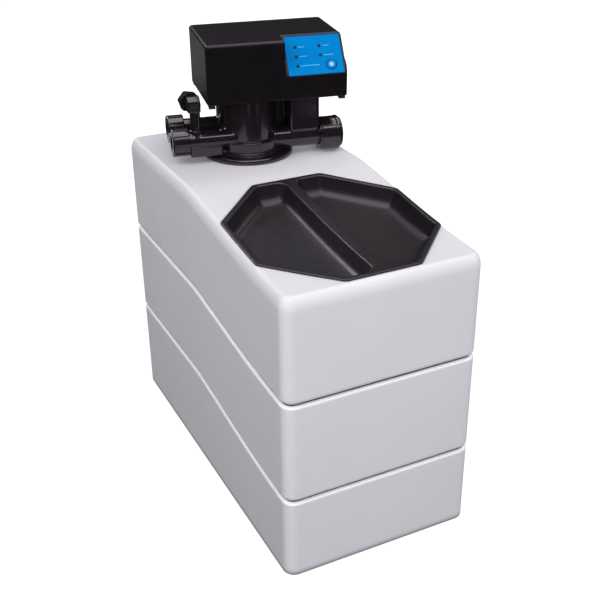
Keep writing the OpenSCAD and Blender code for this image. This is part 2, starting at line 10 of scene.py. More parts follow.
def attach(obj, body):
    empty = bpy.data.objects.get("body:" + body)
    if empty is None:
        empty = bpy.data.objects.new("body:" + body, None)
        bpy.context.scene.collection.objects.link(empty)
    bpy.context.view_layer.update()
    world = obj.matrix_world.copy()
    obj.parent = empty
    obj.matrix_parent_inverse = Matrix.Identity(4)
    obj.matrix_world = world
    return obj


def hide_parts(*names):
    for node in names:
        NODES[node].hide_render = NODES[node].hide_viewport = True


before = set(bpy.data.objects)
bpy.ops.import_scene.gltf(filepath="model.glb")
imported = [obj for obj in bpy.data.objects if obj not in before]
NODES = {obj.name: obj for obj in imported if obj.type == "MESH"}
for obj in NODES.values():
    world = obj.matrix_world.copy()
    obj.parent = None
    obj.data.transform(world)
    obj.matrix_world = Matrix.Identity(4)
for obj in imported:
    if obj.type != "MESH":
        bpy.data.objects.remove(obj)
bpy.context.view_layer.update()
SCENE = bpy.context.scene

# ======================================================================================
# Materials: every one is a node material with colour, gloss and surface variation
# ======================================================================================


def ramp(nt, fac, stops, at=(0, 0)):
    r = nt.nodes.new("ShaderNodeValToRGB")
    r.location = at
    el = r.color_ramp.elements
    while len(el) < len(stops):
        el.new(0.5)
    for e, (p, c) in zip(el, stops):
        e.position = p
        e.color = (c[0], c[1], c[2], 1.0)
    nt.links.new(fac, r.inputs["Fac"])
    return r.outputs["Color"]


def noise(nt, vec, scale, detail=3.0, rough=0.55, distortion=0.0):
    n = nt.nodes.new("ShaderNodeTexNoise")
    n.inputs["Scale"].default_value = scale
    n.inputs["Detail"].default_value = detail
    n.inputs["Roughness"].default_value = rough
    n.inputs["Distortion"].default_value = distortion
    nt.links.new(vec, n.inputs["Vector"])
    return n.outputs["Fac"]


def remap(nt, val, a, b, lo, hi):
    m = nt.nodes.new("ShaderNodeMapRange")
    m.inputs["From Min"].default_value = a
    m.inputs["From Max"].default_value = b
    m.inputs["To Min"].default_value = lo
    m.inputs["To Max"].default_value = hi
    nt.links.new(val, m.inputs["Value"])
    return m.outputs["Result"]


def mix_colour(nt, fac, a, b):
    m = nt.nodes.new("ShaderNodeMix")
    m.data_type = "RGBA"
    nt.links.new(fac, m.inputs["Factor"])
    ia = [s for s in m.inputs if s.name == "A" and s.type == "RGBA"][0]
    ib = [s for s in m.inputs if s.name == "B" and s.type == "RGBA"][0]
    for sock, c in ((ia, a), (ib, b)):
        if isinstance(c, tuple):
            sock.default_value = (*c, 1.0)
        else:
            nt.links.new(c, sock)
    return [s for s in m.outputs if s.type == "RGBA"][0]


def bump(nt, height, strength, distance, normal=None):
    b = nt.nodes.new("ShaderNodeBump")
    b.inputs["Strength"].default_value = strength
    b.inputs["Distance"].default_value = distance
    nt.links.new(height, b.inputs["Height"])
    if normal is not None:
        nt.links.new(normal, b.inputs["Normal"])
    return b.outputs["Normal"]


def plastic(name, lo, hi, rough, mottle=30.0, grain=(1500.0, 0.12, 0.00005), peel=None, specular=0.5,
            coat=0.0, coat_rough=0.1, wear=None, sss=0.0, metal=0.0, stretch=None, tint=None, foot_shade=None):
    """Moulded material. lo and hi are the ends of its colour variation, rough its range of gloss, grain and peel
    (scale, strength, depth) its fine and its slow surface relief, wear (colour, start, end) its paler worn edges,
    foot_shade (height, colour) a painted shade that darkens it towards the ground in place of a contact shadow, tint
    the colour of its gloss."""
    m = bpy.data.materials.new(name)
    m.use_nodes = True
    nt = m.node_tree
    bsdf = nt.nodes["Principled BSDF"]
    tc = nt.nodes.new("ShaderNodeTexCoord")
    vec = tc.outputs["Object"]
    if stretch is not None:
        mp = nt.nodes.new("ShaderNodeMapping")
        mp.inputs["Scale"].default_value = stretch
        nt.links.new(vec, mp.inputs["Vector"])
        fine_vec = mp.outputs["Vector"]
    else:
        fine_vec = vec
    mot = noise(nt, vec, mottle, 4.0, 0.6)
    colour = ramp(nt, mot, [(0.3, lo), (0.7, hi)])
    if wear is not None:
        geo = nt.nodes.new("ShaderNodeNewGeometry")
        edge = remap(nt, geo.outputs["Pointiness"], wear[1], wear[2], 0.0, 1.0)
        broken = remap(nt, noise(nt, vec, 240.0, 5.0, 0.7), 0.42, 0.62, 0.0, 1.0)
        mul = nt.nodes.new("ShaderNodeMath")
        mul.operation = "MULTIPLY"
        mul.use_clamp = True
        nt.links.new(edge, mul.inputs[0])
        nt.links.new(broken, mul.inputs[1])
        colour = mix_colour(nt, mul.outputs[0], colour, wear[0])
    # painted shade: the colour darkens towards the ground, standing in for the contact shadow at the base
    if foot_shade is not None:
        xyz = nt.nodes.new("ShaderNodeSeparateXYZ")
        nt.links.new(vec, xyz.inputs["Vector"])
        low = remap(nt, xyz.outputs["Z"], 0.0, foot_shade[0], 1.0, 0.0)
        sq = nt.nodes.new("ShaderNodeMath")
        sq.operation = "MULTIPLY"
        nt.links.new(low, sq.inputs[0])
        nt.links.new(low, sq.inputs[1])
        colour = mix_colour(nt, sq.outputs[0], colour, foot_shade[1])
    nt.links.new(colour, bsdf.inputs["Base Color"])
    nt.links.new(remap(nt, noise(nt, vec, mottle * 2.7, 5.0, 0.65), 0.3, 0.7, rough[0], rough[1]), bsdf.inputs["Roughness"])
    nrm = None
    if peel is not None:
        nrm = bump(nt, noise(nt, vec, peel[0], 2.0, 0.5), peel[1], peel[2])
    if grain is not None:
        nrm = bump(nt, noise(nt, fine_vec, grain[0], 2.0, 0.6), grain[1], grain[2], nrm)
    if nrm is not None:
        nt.links.new(nrm, bsdf.inputs["Normal"])
    bsdf.inputs["Specular IOR Level"].default_value = specular
    bsdf.inputs["Metallic"].default_value = metal
    if tint is not None:
        bsdf.inputs["Specular Tint"].default_value = (*tint, 1.0)
    if coat:
        bsdf.inputs["Coat Weight"].default_value = coat
        bsdf.inputs["Coat Roughness"].default_value = coat_rough
    if sss:
        bsdf.inputs["Subsurface Weight"].default_value = sss
        bsdf.inputs["Subsurface Radius"].default_value = (0.004, 0.0035, 0.003)
        bsdf.inputs["Subsurface Scale"].default_value = 1.0
    return m


MAT = {
    # cabinet_white carries a painted shade at its foot: its lowest 10 mm darken in place of a contact shadow
    "cabinet_white": plastic("cabinet_white", (0.738, 0.718, 0.773), (0.762, 0.741, 0.797), (0.46, 0.56), 14.0,
                             (900.0, 0.10, 0.00008), (38.0, 0.16, 0.0006), 0.14, foot_shade=(0.010, (0.055, 0.052, 0.057))),
    # painted highlight: paler white for the upper edges of the sections under the grooves, where light from above
    # falls on them
    "cabinet_lip_painted_highlight": plastic("cabinet_lip_painted_highlight", (0.88, 0.862, 0.915), (0.90, 0.882, 0.935), (0.44, 0.54), 14.0,
                           (900.0, 0.10, 0.00008), (38.0, 0.16, 0.0006), 0.2),
    # painted shade: near-black colour for the faces inside the grooves, where shade falls
    "groove_painted_shade": plastic("groove_painted_shade", (0.07, 0.067, 0.072), (0.10, 0.096, 0.103), (0.75, 0.9), 60.0,
                           (900.0, 0.20, 0.0001), None, 0.1),
    "lid_black": plastic("lid_black", (0.0092, 0.0074, 0.0095), (0.0122, 0.0100, 0.0126), (0.33, 0.40), 26.0,
                         (1300.0, 0.12, 0.00005), (60.0, 0.10, 0.0003), 0.5, wear=((0.03, 0.028, 0.031), 0.60, 0.72), tint=(1.0, 0.88, 1.0)),
    "valve_black": plastic("valve_black", (0.0064, 0.0050, 0.0067), (0.0095, 0.0077, 0.0099), (0.13, 0.20), 60.0,
                           (1400.0, 0.10, 0.00004), (120.0, 0.08, 0.0002), 0.85, wear=((0.045, 0.042, 0.047), 0.53, 0.64), tint=(1.0, 0.88, 1.0)),
    "cover_black": plastic("cover_black", (0.0051, 0.0040, 0.0053), (0.0073, 0.0059, 0.0076), (0.30, 0.38), 40.0,
                           (1700.0, 0.22, 0.00005), (90.0, 0.05, 0.0002), 0.34, wear=((0.04, 0.037, 0.042), 0.53, 0.64), tint=(1.0, 0.86, 1.0)),
    "keypad_blue": plastic("keypad_blue", (0.0, 0.198, 0.552), (0.0, 0.214, 0.578), (0.27, 0.34), 45.0,
                           (2600.0, 0.05, 0.00003), None, 0.01),
    "keypad_line": plastic("keypad_line", (0.10, 0.42, 0.78), (0.14, 0.46, 0.80), (0.25, 0.32), 300.0,
                           (2600.0, 0.05, 0.00003), None, 0.1),
    "keypad_edge": plastic("keypad_edge", (0.0, 0.055, 0.18), (0.0, 0.065, 0.21), (0.25, 0.32), 300.0,
                           (2600.0, 0.05, 0.00003), None, 0.1),
    "button_blue": plastic("button_blue", (0.0, 0.075, 0.27), (0.0, 0.085, 0.30), (0.22, 0.30), 200.0,
                           (2400.0, 0.06, 0.00003), None, 0.2),
    "button_pale": plastic("button_pale", (0.26, 0.47, 0.68), (0.30, 0.51, 0.71), (0.25, 0.33), 300.0,
                           (2400.0, 0.06, 0.00003), None, 0.3),
    "led_lens": plastic("led_lens", (0.002, 0.018, 0.045), (0.003, 0.024, 0.055), (0.10, 0.16), 500.0,
                        (3000.0, 0.04, 0.00002), None, 0.3),
    "natural_plastic": plastic("natural_plastic", (0.62, 0.60, 0.52), (0.68, 0.66, 0.58), (0.38, 0.48), 50.0,
                               (1300.0, 0.10, 0.00005), (80.0, 0.08, 0.0003), 0.45, sss=0.05),
    "vessel_shell": plastic("vessel_shell", (0.42, 0.41, 0.33), (0.52, 0.50, 0.41), (0.35, 0.50), 60.0,
                            (700.0, 0.22, 0.0002), (45.0, 0.15, 0.0006), 0.45, stretch=(1.0, 1.0, 7.0)),
    "white_plastic": plastic("white_plastic", (0.78, 0.78, 0.77), (0.83, 0.83, 0.82), (0.34, 0.44), 60.0,
                             (1500.0, 0.08, 0.00004), None, 0.5),
    "rubber": plastic("rubber", (0.018, 0.018, 0.019), (0.028, 0.028, 0.029), (0.55, 0.70), 90.0,
                      (1800.0, 0.20, 0.00005), None, 0.4),
    "steel": plastic("steel", (0.52, 0.53, 0.54), (0.60, 0.61, 0.62), (0.24, 0.36), 80.0,
                     (900.0, 0.10, 0.00003), None, 0.5, metal=1.0, stretch=(1.0, 1.0, 0.06)),
    "board_green": plastic("board_green", (0.012, 0.085, 0.030), (0.02, 0.12, 0.045), (0.28, 0.40), 220.0,
                           (1500.0, 0.15, 0.00005), None, 0.5),
}

# ======================================================================================
# Mesh tools, in millimetres
# ======================================================================================
MM = 0.001


class Shell:
    """Collects rings of points and the faces between them."""

    def __init__(self):
        self.v, self.f, self.m = [], [], []

    def ring(self, pts):
        at = len(self.v)
        self.v.extend([tuple(map(float, p)) for p in pts])
        return list(range(at, at + len(pts)))

    def loft(self, a, b, mat=0):
        n = len(a)
        for i in range(n):
            j = (i + 1) % n
            self.f.append((a[i], a[j], b[j], b[i]))
            self.m.append(mat)

    def stack(self, rings, mat=0):
        ids = [self.ring(r) for r in rings]
        for a, b in zip(ids, ids[1:]):
            self.loft(a, b, mat)
        return ids[0], ids[-1]

    def fill(self, outer, holes, height, step=None, flip=False, mat=0, patches=()):
        """Fills the region between ring outer and rings holes; height gives z of added inner points.
        patches are (ring, material) regions inside the fill."""
        loops = [outer, *holes, *[p[0] for p in patches]]
        ids, pts, edges = [], [], []
        for loop in loops:
            at = len(pts)
            ids.extend(loop)
            pts.extend([Vector(self.v[i][:2]) for i in loop])
            edges.extend([(at + i, at + (i + 1) % len(loop)) for i in range(len(loop))])
        polys = [np.array([self.v[i][:2] for i in loop]) for loop in loops]
        n_h = len(holes)
        if step:
            lo, hi = polys[0].min(0), polys[0].max(0)
            nx, ny = int((hi[0] - lo[0]) / step), int((hi[1] - lo[1]) / step)
            gx = lo[0] + (np.arange(nx) + 0.5) * (hi[0] - lo[0]) / max(nx, 1)
            gy = lo[1] + (np.arange(ny) + 0.5) * (hi[1] - lo[1]) / max(ny, 1)
            g = np.array([(x, y) for x in gx for y in gy]).reshape(-1, 2)
            keep = inside(g, polys[0])
            for h in polys[1:1 + n_h]:
                keep &= ~inside(g, h)
            g = g[keep]
            allp = np.concatenate(polys)
            if len(g):
                near = np.array([np.min(((allp - q) ** 2).sum(1)) for q in g])
                g = g[near > (0.45 * step) ** 2]
            z = height(g[:, 0], g[:, 1]) if len(g) else []
            new = self.ring([(x, y, zz) for (x, y), zz in zip(g, z)])
            ids.extend(new)
            pts.extend([Vector(q) for q in g])
        out = delaunay_2d_cdt(pts, edges, [], 0, 1e-6, True)
        seams, faces, origin, seam_from = out[1], out[2], out[3], out[4]
        back = [ids[o[0]] if len(o) else None for o in origin]
        ring_of = [k for k, loop in enumerate(loops) for _ in loop]
        wall = {}
        for e, src in zip(seams, seam_from):
            ks = frozenset(ring_of[i] for i in src if i < len(ring_of))
            if ks:
                wall[(min(e), max(e))] = ks
        sides = {}
        for i, f in enumerate(faces):
            for a, b in zip(f, [*f[1:], f[0]]):
                sides.setdefault((min(a, b), max(a, b)), []).append(i)
        # walk in from the hull, noting which rings are crossed
        state = [None] * len(faces)
        todo = [(fs[0], wall.get(e, frozenset())) for e, fs in sides.items() if len(fs) == 1]
        while todo:
            i, st = todo.pop()
            if state[i] is not None:
                continue
            state[i] = st
            f = faces[i]
            for a, b in zip(f, [*f[1:], f[0]]):
                e = (min(a, b), max(a, b))
                todo.extend((j, st ^ wall.get(e, frozenset())) for j in sides[e] if state[j] is None)
        for f, st in zip(faces, state):
            if 0 not in st or any(1 <= k <= n_h for k in st):
                continue
            t = [back[i] for i in f]
            km = next((q[1] for k, q in enumerate(patches) if 1 + n_h + k in st), mat)
            self.f.append(tuple(t[::-1] if flip else t))
            self.m.append(int(km))


def inside(p, poly):
    """Which points lie inside a closed polygon."""
    p = np.asarray(p, float).reshape(-1, 2)
    x, y = p[:, 0], p[:, 1]
    res = np.zeros(len(p), bool)
    n = len(poly)
    for i in range(n):
        (x0, y0), (x1, y1) = poly[i - 1], poly[i]
        if y0 == y1:
            continue
        c = ((y0 > y) != (y1 > y)) & (x < (x1 - x0) * (y - y0) / (y1 - y0) + x0)
        res ^= c
    return res


def poly_ring(corners, inset, radii, n_arc, n_edge):
    """Counter-clockwise polygon drawn in by inset, with round corners. Its count of points doesn't depend on inset."""
    c = np.asarray(corners, float)
    n = len(c)
    e = np.roll(c, -1, 0) - c
    e /= np.linalg.norm(e, axis=1)[:, None]
    nrm = np.stack([-e[:, 1], e[:, 0]], 1)  # inward
    arcs = []
    for i in range(n):
        n0, n1 = nrm[i - 1], nrm[i]
        corner = c[i] + (n0 + n1) / (1 + n0 @ n1) * inset
        r = radii[i] if hasattr(radii, "__len__") else radii
        cen = corner + (n0 + n1) / (1 + n0 @ n1) * r
        a0 = math.atan2(-n0[1], -n0[0])
        a1 = math.atan2(-n1[1], -n1[0])
        while a1 < a0:
            a1 += 2 * math.pi
        t = np.linspace(a0, a1, n_arc)
        arcs.append(cen + r * np.stack([np.cos(t), np.sin(t)], 1))
    pts = []
    for i in range(n):
        pts.extend(arcs[i])
        a, b = arcs[i][-1], arcs[(i + 1) % n][0]
        k = n_edge[i] if hasattr(n_edge, "__len__") else n_edge
        for j in range(1, k + 1):
            pts.append(a + (b - a) * j / (k + 1))
    return np.array(pts)


def circle_ring(cx, cy, r, n):
    t = np.arange(n) * 2 * math.pi / n
    return np.stack([cx + r * np.cos(t), cy + r * np.sin(t)], 1)


def bezier(p0, p1, p2, n):
    t = np.linspace(0, 1, n)[:, None]
    p0, p1, p2 = map(lambda q: np.array(q, float), (p0, p1, p2))
    return [tuple(q) for q in (1 - t) ** 2 * p0 + 2 * t * (1 - t) * p1 + t * t * p2]


def make(name, verts, faces, body, mats, stands_for, angle=38.0, normals=None, face_mats=None, weighted=True):
    """A closed mesh piece, given in millimetres, that rides on a body and stands for CAD nodes."""
    mesh = bpy.data.meshes.new(name)
    mesh.from_pydata([tuple(p) for p in np.asarray(verts, float) * MM], [], faces)
    mats = mats if isinstance(mats, (list, tuple)) else [mats]
    for m in mats:
        mesh.materials.append(MAT[m])
    if face_mats is not None:
        mesh.polygons.foreach_set("material_index", np.asarray(face_mats, np.int32))
    bm = bmesh.new()
    bm.from_mesh(mesh)
    loose = [v for v in bm.verts if not v.link_faces]
    if loose:
        bmesh.ops.delete(bm, geom=loose, context="VERTS")
    bmesh.ops.recalc_face_normals(bm, faces=bm.faces)
    bm.to_mesh(mesh)
    bm.free()
    mesh.polygons.foreach_set("use_smooth", np.ones(len(mesh.polygons), bool))
    obj = bpy.data.objects.new(name, mesh)
    SCENE.collection.objects.link(obj)
    if normals is not None:
        mesh.normals_split_custom_set_from_vertices([tuple(n) for n in normals])
    else:
        mesh.set_sharp_from_angle(angle=math.radians(angle))
        if weighted:
            w = obj.modifiers.new("even_normals", "WEIGHTED_NORMAL")
            w.keep_sharp = True
            w.weight = 50
    mesh.update()
    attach(obj, body)
    if stands_for:
        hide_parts(*stands_for)
    return obj


# ---- smooth solids from distance fields ----------------------------------------------


def s_cyl(p, ax, c, r, a, b, e=0.0):
    o = [i for i in range(3) if i != ax]
    d0 = np.hypot(p[:, o[0]] - c[0], p[:, o[1]] - c[1]) - (r - e)
    d1 = np.abs(p[:, ax] - (a + b) / 2) - ((b - a) / 2 - e)
    return np.minimum(np.maximum(d0, d1), 0) + np.hypot(np.maximum(d0, 0), np.maximum(d1, 0)) - e


def s_box(p, lo, hi, e=0.0):
    lo, hi = np.array(lo, float), np.array(hi, float)
    q = np.abs(p - (lo + hi) / 2) - ((hi - lo) / 2 - e)
    return np.minimum(q.max(1), 0) + np.sqrt((np.maximum(q, 0) ** 2).sum(1)) - e


def s_sphere(p, c, r):
    return np.sqrt(((p - np.array(c)) ** 2).sum(1)) - r


def join(a, b, k=0.0):
    if k <= 0:
        return np.minimum(a, b)
    h = np.clip(0.5 + 0.5 * (b - a) / k, 0, 1)
    return b * (1 - h) + a * h - k * h * (1 - h)


def both(a, b, k=0.0):
    return -join(-a, -b, k)


def cut(a, b, k=0.0):
    return both(a, -b, k)


def gradient(f, p, h):
    g = np.empty_like(p)
    for i in range(3):
        d = np.zeros(3)
        d[i] = h
        g[:, i] = (f(p + d) - f(p - d)) / (2 * h)
    return g


def onto(f, p, cell, rounds=4):
    for _ in range(rounds):
        v = f(p)
        g = gradient(f, p, 0.03)
        n2 = np.maximum((g * g).sum(1), 0.05)
        step = (v / n2)[:, None] * g
        ln = np.sqrt((step ** 2).sum(1))
        step *= np.minimum(1.0, 0.5 * cell / np.maximum(ln, 1e-9))[:, None]
        p = p - step
    return p


def skin(f, lo, hi, cell):
    """Quads on the surface f = 0 between two corners."""
    lo, hi = np.array(lo, float), np.array(hi, float)
    n = np.ceil((hi - lo) / cell).astype(int) + 1
    ax = [lo[i] + cell * np.arange(n[i]) for i in range(3)]
    val = np.empty(n)
    for i in range(n[0]):
        yy, zz = np.meshgrid(ax[1], ax[2], indexing="ij")
        p = np.stack([np.full(yy.size, ax[0][i]), yy.ravel(), zz.ravel()], 1)
        val[i] = f(p).reshape(n[1], n[2])
    val[np.abs(val) < 1e-7] = 1e-7
    s = val < 0
    off = [(i, j, k) for i in (0, 1) for j in (0, 1) for k in (0, 1)]
    m = n - 1

    def corner(a, o):
        return a[o[0]:o[0] + m[0], o[1]:o[1] + m[1], o[2]:o[2] + m[2]]

    cnt = sum(corner(s, o).astype(np.int8) for o in off)
    act = np.argwhere((cnt > 0) & (cnt < 8))
    index = np.full(m, -1, np.int64)
    index[act[:, 0], act[:, 1], act[:, 2]] = np.arange(len(act))
    pos, num = np.zeros((len(act), 3)), np.zeros(len(act))
    for a in off:
        for axis in range(3):
            if a[axis]:
                continue
            b = list(a)
            b[axis] = 1
            ia, ib = act + np.array(a), act + np.array(b)
            va, vb = val[tuple(ia.T)], val[tuple(ib.T)]
            x = (va < 0) != (vb < 0)
            t = va[x] / (va[x] - vb[x])
            q = lo + cell * ia[x]
            q[:, axis] += cell * t
            pos[x] += q
            num[x] += 1
    pos /= num[:, None]
    quads = []
    for axis in range(3):
        u, w = [(1, 2), (2, 0), (0, 1)][axis]
        sl0 = [slice(None)] * 3
        sl1 = [slice(None)] * 3
        sl0[axis], sl1[axis] = slice(0, -1), slice(1, None)
        e = np.argwhere(s[tuple(sl0)] != s[tuple(sl1)])
        e = e[(e[:, u] > 0) & (e[:, w] > 0) & (e[:, u] < m[u]) & (e[:, w] < m[w])]
        du, dw = np.zeros(3, int), np.zeros(3, int)
        du[u] = 1
        dw[w] = 1
        q = np.stack([index[tuple((e - du - dw).T)], index[tuple((e - dw).T)], index[tuple(e.T)], index[tuple((e - du).T)]], 1)
        neg = ~s[tuple(e.T)]
        q[neg] = q[neg][:, ::-1]
        quads.append(q)
    quads = np.concatenate(quads)
    return pos, quads[(quads >= 0).all(1)]


def relax(pos, quads, f, cell, rounds=3):
    """Evens the points out along the surface."""
    n = len(pos)
    for _ in range(rounds):
        acc, num = np.zeros((n, 3)), np.zeros(n)
        for a, b in ((0, 1), (1, 2), (2, 3), (3, 0)):
            for i, j in ((a, b), (b, a)):
                np.add.at(acc, quads[:, i], pos[quads[:, j]])
                np.add.at(num, quads[:, i], 1)
        pos = onto(f, pos + 0.6 * (acc / np.maximum(num, 1)[:, None] - pos), cell, 2)
    return pos


def tight(faces):
    """Whether every edge has exactly two faces."""
    use = {}
    for t in faces:
        for a, b in zip(t, (*t[1:], t[0])):
            e = (a, b) if a < b else (b, a)
            use[e] = use.get(e, 0) + 1
    return all(k == 2 for k in use.values())


def moulded(name, f, lo, hi, cell, place, body, mat, stands_for, keep=0.5):
    """A closed piece on the surface of a distance field, thinned where it is flat, with the field's own normals."""
    for shift in (0.0, 0.31, 0.53, 0.71, 0.17, 0.83):
        pos, quads = skin(f, np.array(lo) - shift * cell * np.array([1.0, 0.8, 0.6]), hi, cell)
        if shift < 0.8 and not tight(quads.tolist()):
            continue
        pos = relax(onto(f, pos, cell), quads, f, cell)
        mesh = bpy.data.meshes.new(name + "_dense")
        mesh.from_pydata([tuple(p) for p in pos], [], [tuple(q) for q in quads])
        tmp = bpy.data.objects.new(name + "_dense", mesh)
        SCENE.collection.objects.link(tmp)
        d = tmp.modifiers.new("thin", "DECIMATE")
        d.ratio = keep
        dg = bpy.context.evaluated_depsgraph_get()
        ev = bpy.data.meshes.new_from_object(tmp.evaluated_get(dg))
        thin = np.empty(len(ev.vertices) * 3)
        ev.vertices.foreach_get("co", thin)
        faces = [tuple(q.vertices) for q in ev.polygons]
        bpy.data.objects.remove(tmp)
        bpy.data.meshes.remove(mesh)
        bpy.data.meshes.remove(ev)
        if tight(faces):
            break
    pos = onto(f, thin.reshape(-1, 3), cell, 2)
    g = gradient(f, pos, 0.12)
    g /= np.maximum(np.linalg.norm(g, axis=1), 1e-9)[:, None]
    world, turn = place(pos)
    return make(name, world, faces, body, mat, stands_for, normals=g @ turn.T)


# ======================================================================================
# Cabinet: brine tank and hood
# ======================================================================================
CAB_W, CAB_D, CAB_H = 225.0, 455.0, 355.0
G1, G2 = 238.0, 121.0
LIP = 1.4


def fall(y):
    y = np.asarray(y, float)
    f = np.where(y >= -100, 2.1875 - 0.125 * y, 14.6875 + 0.125 * (-100 - y) - 0.000413386 * (-100 - y) ** 2)
    f = np.where(y >= 0, (35 - y) ** 2 / 560, f)
    return np.where(y >= 35, 0.0, f)


def lift(p, level, k=1.0):
    return np.column_stack([p[:, 0], p[:, 1], level - k * fall(p[:, 1])])


CAB = [(CAB_W / 2, -CAB_D / 2), (CAB_W / 2, CAB_D / 2), (-CAB_W / 2, CAB_D / 2), (-CAB_W / 2, -CAB_D / 2)]


def cab_ring(d, level, k=1.0):
    r = max(13.5 - d, 1.2)
    return lift(poly_ring(CAB, d, r, 9, [60, 12, 60, 12]), level, k)


def follow(level):
    return float(np.clip((level - 8.0) / 96.0, 0, 1))


def quarter(n, f):
    return [f(t) for t in np.linspace(0, math.pi / 2, n)]


def lower_lip(g, a, h, n=8):
    """Rounded upper edge of the section under a groove."""
    return quarter(n, lambda t: (a * (1 - math.cos(t)), g - LIP - h + h * math.sin(t)))


def upper_lip(g, a, h, n=8):
    """Rounded lower edge of the section above a groove."""
    return quarter(n, lambda t: (a * (1 - math.cos(t)), g + LIP + h - h * math.sin(t)))[::-1]


tank = Shell()
prof = quarter(6, lambda t: (1.8 * (1 - math.sin(t)), 1.8 * (1 - math.cos(t))))
prof += [(0, 4.0), (0, 10), (0, 24), (0, 44), (0, 64), (0, 84), (0, 104)]
prof += [(0, G2 - LIP - 4.2)] + lower_lip(G2, 4.2, 2.9) + [(4.9, G2 - LIP), (5.1, G2 - LIP + 0.25), (5.1, G2 + LIP - 0.2), (4.9, G2 + LIP)]
prof += upper_lip(G2, 3.8, 4.6) + [(0, G2 + LIP + 5.8), (0, 150), (0, 175), (0, 200), (0, 218)]
prof += [(0, G1 - LIP - 4.2)] + lower_lip(G1, 4.2, 2.9) + [(4.5, G1 - LIP), (4.6, G1 - LIP + 0.3), (4.6, G1 + 7.2), (4.9, G1 + 7.6), (6.3, G1 + 7.6), (6.6, G1 + 7.2)]
prof += [(6.6, G1 - 7), (4, G1 - 13), (4, 200), (4, 160), (4, G2 + 14), (7.6, G2 + 8), (7.6, G2 - 8), (4, G2 - 14), (4, 84), (4, 50), (4, 24), (4, 15)]
prof += quarter(6, lambda t: (4 + 7 * (1 - math.cos(t)), 12 - 7 * math.sin(t)))


def in_groove(a, b):
    """Whether a stretch of the profile lies inside one of the grooves."""
    return all(4.15 < d < 5.6 and min(abs(z - G1), abs(z - G2)) < 9 for d, z in (a, b))


def on_lip(a, b):
    """Whether a stretch of the profile lies on the upper edge of a section, which gets a painted highlight."""
    return all(0.3 < d < 4.3 and any(-LIP - 2.9 < z - g < 0.05 - LIP for g in (G1, G2)) for d, z in (a, b))


ids = [tank.ring(cab_ring(d, z, follow(z))) for d, z in prof]
# faces inside the grooves get painted shade, and the upper edges of the sections under them get a painted highlight
for a, b, p0, p1 in zip(ids, ids[1:], prof, prof[1:]):
    tank.loft(a, b, 1 if in_groove(p0, p1) else 2 if on_lip(p0, p1) else 0)
first, last = ids[0], ids[-1]
tank.fill(first, [], lambda x, y: 0 * x, 60.0)
tank.fill(last, [], lambda x, y: 0 * x + 5.0, 60.0)
tank_obj = make("brine_tank_moulding", tank.v, tank.f, "cabinet", ["cabinet_white", "groove_painted_shade", "cabinet_lip_painted_highlight"], ["brine_tank"], face_mats=tank.m)

# ---- octagon of the lid --------------------------------------------------------------
LID_A, LID_B, LID_C, LID_Y = 106.8, 109.3, 64.5, -109.6
OCT = [(LID_A, LID_Y - LID_B + LID_C), (LID_A, LID_Y + LID_B - LID_C), (LID_A - LID_C, LID_Y + LID_B), (-LID_A + LID_C, LID_Y + LID_B),
       (-LID_A, LID_Y + LID_B - LID_C), (-LID_A, LID_Y - LID_B + LID_C), (-LID_A + LID_C, LID_Y - LID_B), (LID_A - LID_C, LID_Y - LID_B)]
OCT_N = [16, 14, 14, 14, 16, 14, 14, 14]


def oct_ring(d, level, r0=8.0, rmin=2.5):
    return lift(poly_ring(OCT, d, max(r0 - d, rmin), 7, OCT_N), level)


VALVE_Y = 105.0


def neck_ring(r, level):
    p = circle_ring(0, VALVE_Y, r, 72)
    return lift(p, level)


hood = Shell()
prof = upper_lip(G1, 3.6, 4.6) + [(0, G1 + LIP + 5.8), (0, 262), (0, 290), (0, 316), (0, 328), (0, 339.0)]
prof += quarter(13, lambda t: (8.0 * (1 - math.cos(t)), 340.0 + 15.0 * math.sin(t))) + [(8.4, 355)]
low, top = hood.stack([cab_ring(d, z) for d, z in prof])
hole_top = [(2.9, 355.0), (3.0, 354.95), (3.12, 354.75), (3.18, 354.4), (3.2, 353.9), (3.2, 351.0)]
o_top, o_low = hood.stack([oct_ring(d, z) for d, z in hole_top])
n_top, n_low = hood.stack([neck_ring(r, z) for r, z in [(42.2, 355.0), (41.4, 354.7), (41.0, 353.9), (41.0, 351.0)]])
hood.fill(top, [o_top, n_top], lambda x, y: CAB_H - fall(y), 9.0)
prof = [(8.5, 351), (7, 351)] + quarter(5, lambda t: (4 + 3 * (1 - math.sin(t)), 351 - 3 * (1 - math.cos(t))))[1:]
prof += [(4, 320), (4, 285), (4, 255), (4, G1 + 8.6), (4, G1 + LIP + 0.4), (3.9, G1 + LIP + 0.1)]
in_top, in_low = hood.stack([cab_ring(d, z) for d, z in prof])
hood.fill(in_top, [o_low, n_low], lambda x, y: 351.0 - fall(y), 14.0, flip=True)
# the face inside the groove gets painted shade
hood.loft(in_low, low, 1)
hood_obj = make("hood_moulding", hood.v, hood.f, "cabinet", ["cabinet_white", "groove_painted_shade"], ["hood"], face_mats=hood.m)

# ======================================================================================
# Tray lid
# ======================================================================================
lid = Shell()
rim = [(4.4, 0.25), (0.9, 0.25), (0.35, 0.35), (0.05, 0.7), (0.0, 1.05), (0.1, 1.45), (0.45, 1.85), (1.0, 2.1), (1.8, 2.2), (3.0, 2.2)]
rim = [(d, CAB_H + z) for d, z in rim]
under, rim_in = lid.stack([oct_ring(d, z) for d, z in rim])
P_A, P_B, P_C, P_E = LID_A - 6.5, LID_B - 6.5, LID_C - 0.5858 * 6.5, 6.5
POCKET = [(P_E, -P_B), (P_A - P_C, -P_B), (P_A, -P_B + P_C), (P_A, P_B - P_C), (P_A - P_C, P_B), (P_E, P_B)]
pocket_prof = quarter(7, lambda t: (-2.0 + 2.0 * math.sin(t), 0.2 + 2.0 * math.cos(t)))
pocket_prof += [(0.22, -0.9), (1.0, -3.8), (1.85, -6.8)]
pocket_prof += bezier((2.1, -7.7), (4.66, -17.0), (14.3, -17.0), 13) + [(15.3, -17.0)]
rings = []
